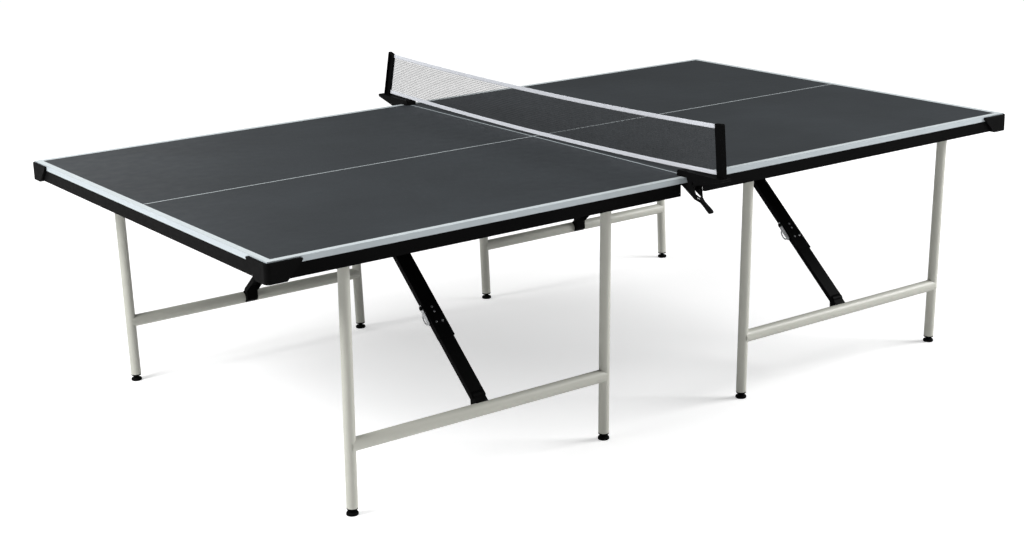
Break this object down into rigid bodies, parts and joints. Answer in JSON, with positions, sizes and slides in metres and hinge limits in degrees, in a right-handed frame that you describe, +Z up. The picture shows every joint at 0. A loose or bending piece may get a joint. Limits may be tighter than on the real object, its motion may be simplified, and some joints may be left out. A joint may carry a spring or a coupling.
{
  "type": "folding table tennis table",
  "caption": "Full-size table tennis table in two halves on folding tube legs with braces, screw feet and a clamp-on sagging net.",
  "frame": {"origin": "on the floor under the centre of the table", "axes": "+X along the table's length, +Y across it towards the back, +Z up"},
  "size_m": [2.756, 1.828, 0.9355],
  "materials": {
    "playing_surface": "matte paint on board",
    "edge_white": "satin",
    "black_steel": "satin powder coat",
    "leg_paint": "satin powder coat",
    "black_plastic": "moulded",
    "zinc_steel": "zinc plated",
    "net_tape": "woven",
    "net_mesh": "knotted mesh"
  },
  "bodies": {
    "table": {"left_panel": "playing_surface", "left_edge_bands": "edge_white", "left_side_aprons": "black_steel", "left_end_apron": "black_steel", "left_corner_caps": "black_plastic", "right_panel": "playing_surface", "right_edge_bands": "edge_white", "right_side_aprons": "black_steel", "right_end_apron": "black_steel", "right_corner_caps": "black_plastic", "fixing_screws": "zinc_steel", "hinge_brackets": "black_steel", "hinge_bolts": "zinc_steel", "brace_hangers": "black_steel", "net_mesh": "net_mesh", "net_top_tape": "net_tape", "net_bottom_tape": "net_tape", "net_posts": "black_steel", "net_clamp_bodies": "black_plastic", "net_clamp_pins": "black_steel", "net_clamp_springs": "zinc_steel", "seam_dowels": "zinc_steel"},
    "front_left_legs": {"front_left_leg_frame": "leg_paint", "front_left_leg_plugs": "black_plastic", "front_left_brace_clevis": "black_steel"},
    "front_left_upper_arm": {"front_left_upper_arm": "black_steel", "front_left_elbow_rivets": "zinc_steel"},
    "front_left_lower_arm": {"front_left_lower_arm": "black_steel"},
    "front_left_lock_lever": {"front_left_lock_lever": "zinc_steel"},
    "front_left_outer_foot": {"front_left_outer_foot": "black_plastic"},
    "front_left_inner_foot": {"front_left_inner_foot": "black_plastic"},
    "front_right_legs": {"front_right_leg_frame": "leg_paint", "front_right_leg_plugs": "black_plastic", "front_right_brace_clevis": "black_steel"},
    "front_right_upper_arm": {"front_right_upper_arm": "black_steel", "front_right_elbow_rivets": "zinc_steel"},
    "front_right_lower_arm": {"front_right_lower_arm": "black_steel"},
    "front_right_lock_lever": {"front_right_lock_lever": "zinc_steel"},
    "front_right_inner_foot": {"front_right_inner_foot": "black_plastic"},
    "front_right_outer_foot": {"front_right_outer_foot": "black_plastic"},
    "back_left_legs": {"back_left_leg_frame": "leg_paint", "back_left_leg_plugs": "black_plastic", "back_left_brace_clevis": "black_steel"},
    "back_left_upper_arm": {"back_left_upper_arm": "black_steel", "back_left_elbow_rivets": "zinc_steel"},
    "back_left_lower_arm": {"back_left_lower_arm": "black_steel"},
    "back_left_lock_lever": {"back_left_lock_lever": "zinc_steel"},
    "back_left_inner_foot": {"back_left_inner_foot": "black_plastic"},
    "back_left_outer_foot": {"back_left_outer_foot": "black_plastic"},
    "back_right_legs": {"back_right_leg_frame": "leg_paint", "back_right_leg_plugs": "black_plastic", "back_right_brace_clevis": "black_steel"},
    "back_right_upper_arm": {"back_right_upper_arm": "black_steel", "back_right_elbow_rivets": "zinc_steel"},
    "back_right_lower_arm": {"back_right_lower_arm": "black_steel"},
    "back_right_lock_lever": {"back_right_lock_lever": "zinc_steel"},
    "back_right_outer_foot": {"back_right_outer_foot": "black_plastic"},
    "back_right_inner_foot": {"back_right_inner_foot": "black_plastic"},
    "front_net_clamp_lever": {"front_net_clamp_lever": "black_plastic"},
    "back_net_clamp_lever": {"back_net_clamp_lever": "black_plastic"}
  },
  "joints": [
    {"name": "front_left_leg_fold", "type": "hinge", "parent": "table", "child": "front_left_legs", "pos_m": [-0.701, -0.714, 0.701], "axis": [1, 0, 0], "range_deg": [0, 88]},
    {"name": "front_left_upper_arm_fold", "type": "hinge", "parent": "table", "child": "front_left_upper_arm", "pos_m": [-0.701, -0.105, 0.727], "axis": [1, 0, 0], "range_deg": [-41.52, 0]},
    {"name": "front_left_lower_arm_fold", "type": "hinge", "parent": "front_left_legs", "child": "front_left_lower_arm", "pos_m": [-0.701, -0.671, 0.231], "axis": [1, 0, 0], "range_deg": [0, 50.58]},
    {"name": "front_left_lock_release", "type": "hinge", "parent": "front_left_upper_arm", "child": "front_left_lock_lever", "pos_m": [-0.72785, -0.43981, 0.4336], "axis": [1, 0, 0], "range_deg": [0, 20], "stiffness_Nm_per_rad": 0.3, "springref_deg": -28.65},
    {"name": "front_left_outer_foot_screw", "type": "slide", "parent": "front_left_legs", "child": "front_left_outer_foot", "axis": [0, 0.0328, -0.9995], "range_m": [0, 0.01]},
    {"name": "front_left_inner_foot_screw", "type": "slide", "parent": "front_left_legs", "child": "front_left_inner_foot", "axis": [0, 0.0328, -0.9995], "range_m": [0, 0.01]},
    {"name": "front_right_leg_fold", "type": "hinge", "parent": "table", "child": "front_right_legs", "pos_m": [0.701, -0.714, 0.701], "axis": [1, 0, 0], "range_deg": [0, 88]},
    {"name": "front_right_upper_arm_fold", "type": "hinge", "parent": "table", "child": "front_right_upper_arm", "pos_m": [0.701, -0.105, 0.727], "axis": [1, 0, 0], "range_deg": [-41.52, 0]},
    {"name": "front_right_lower_arm_fold", "type": "hinge", "parent": "front_right_legs", "child": "front_right_lower_arm", "pos_m": [0.701, -0.671, 0.231], "axis": [1, 0, 0], "range_deg": [0, 50.58]},
    {"name": "front_right_lock_release", "type": "hinge", "parent": "front_right_upper_arm", "child": "front_right_lock_lever", "pos_m": [0.67415, -0.43981, 0.4336], "axis": [1, 0, 0], "range_deg": [0, 20], "stiffness_Nm_per_rad": 0.3, "springref_deg": -28.65},
    {"name": "front_right_inner_foot_screw", "type": "slide", "parent": "front_right_legs", "child": "front_right_inner_foot", "axis": [0, 0.0328, -0.9995], "range_m": [0, 0.01]},
    {"name": "front_right_outer_foot_screw", "type": "slide", "parent": "front_right_legs", "child": "front_right_outer_foot", "axis": [0, 0.0328, -0.9995], "range_m": [0, 0.01]},
    {"name": "back_left_leg_fold", "type": "hinge", "parent": "table", "child": "back_left_legs", "pos_m": [-0.701, 0.714, 0.701], "axis": [-1, 0, 0], "range_deg": [0, 88]},
    {"name": "back_left_upper_arm_fold", "type": "hinge", "parent": "table", "child": "back_left_upper_arm", "pos_m": [-0.701, 0.105, 0.727], "axis": [-1, 0, 0], "range_deg": [-41.52, 0]},
    {"name": "back_left_lower_arm_fold", "type": "hinge", "parent": "back_left_legs", "child": "back_left_lower_arm", "pos_m": [-0.701, 0.671, 0.231], "axis": [-1, 0, 0], "range_deg": [0, 50.58]},
    {"name": "back_left_lock_release", "type": "hinge", "parent": "back_left_upper_arm", "child": "back_left_lock_lever", "pos_m": [-0.67415, 0.43981, 0.4336], "axis": [-1, 0, 0], "range_deg": [0, 20], "stiffness_Nm_per_rad": 0.3, "springref_deg": -28.65},
    {"name": "back_left_inner_foot_screw", "type": "slide", "parent": "back_left_legs", "child": "back_left_inner_foot", "axis": [0, -0.0328, -0.9995], "range_m": [0, 0.01]},
    {"name": "back_left_outer_foot_screw", "type": "slide", "parent": "back_left_legs", "child": "back_left_outer_foot", "axis": [0, -0.0328, -0.9995], "range_m": [0, 0.01]},
    {"name": "back_right_leg_fold", "type": "hinge", "parent": "table", "child": "back_right_legs", "pos_m": [0.701, 0.714, 0.701], "axis": [-1, 0, 0], "range_deg": [0, 88]},
    {"name": "back_right_upper_arm_fold", "type": "hinge", "parent": "table", "child": "back_right_upper_arm", "pos_m": [0.701, 0.105, 0.727], "axis": [-1, 0, 0], "range_deg": [-41.52, 0]},
    {"name": "back_right_lower_arm_fold", "type": "hinge", "parent": "back_right_legs", "child": "back_right_lower_arm", "pos_m": [0.701, 0.671, 0.231], "axis": [-1, 0, 0], "range_deg": [0, 50.58]},
    {"name": "back_right_lock_release", "type": "hinge", "parent": "back_right_upper_arm", "child": "back_right_lock_lever", "pos_m": [0.72785, 0.43981, 0.4336], "axis": [-1, 0, 0], "range_deg": [0, 20], "stiffness_Nm_per_rad": 0.3, "springref_deg": -28.65},
    {"name": "back_right_outer_foot_screw", "type": "slide", "parent": "back_right_legs", "child": "back_right_outer_foot", "axis": [0, -0.0328, -0.9995], "range_m": [0, 0.01]},
    {"name": "back_right_inner_foot_screw", "type": "slide", "parent": "back_right_legs", "child": "back_right_inner_foot", "axis": [0, -0.0328, -0.9995], "range_m": [0, 0.01]},
    {"name": "front_net_clamp_lever_squeeze", "type": "hinge", "parent": "table", "child": "front_net_clamp_lever", "pos_m": [0, -0.79, 0.747], "axis": [-1, 0, 0], "range_deg": [0, 18], "stiffness_Nm_per_rad": 1.5, "springref_deg": -34.38},
    {"name": "back_net_clamp_lever_squeeze", "type": "hinge", "parent": "table", "child": "back_net_clamp_lever", "pos_m": [0, 0.79, 0.747], "axis": [1, 0, 0], "range_deg": [0, 18], "stiffness_Nm_per_rad": 1.5, "springref_deg": -34.38}
  ],
  "couplings": [
    {"joint": "front_left_upper_arm_fold", "follows": "front_left_leg_fold", "ratio": -0.47121},
    {"joint": "front_left_lower_arm_fold", "follows": "front_left_leg_fold", "ratio": 0.57425},
    {"joint": "front_right_upper_arm_fold", "follows": "front_right_leg_fold", "ratio": -0.47121},
    {"joint": "front_right_lower_arm_fold", "follows": "front_right_leg_fold", "ratio": 0.57425},
    {"joint": "back_left_upper_arm_fold", "follows": "back_left_leg_fold", "ratio": -0.47121},
    {"joint": "back_left_lower_arm_fold", "follows": "back_left_leg_fold", "ratio": 0.57425},
    {"joint": "back_right_upper_arm_fold", "follows": "back_right_leg_fold", "ratio": -0.47121},
    {"joint": "back_right_lower_arm_fold", "follows": "back_right_leg_fold", "ratio": 0.57425}
  ]
}
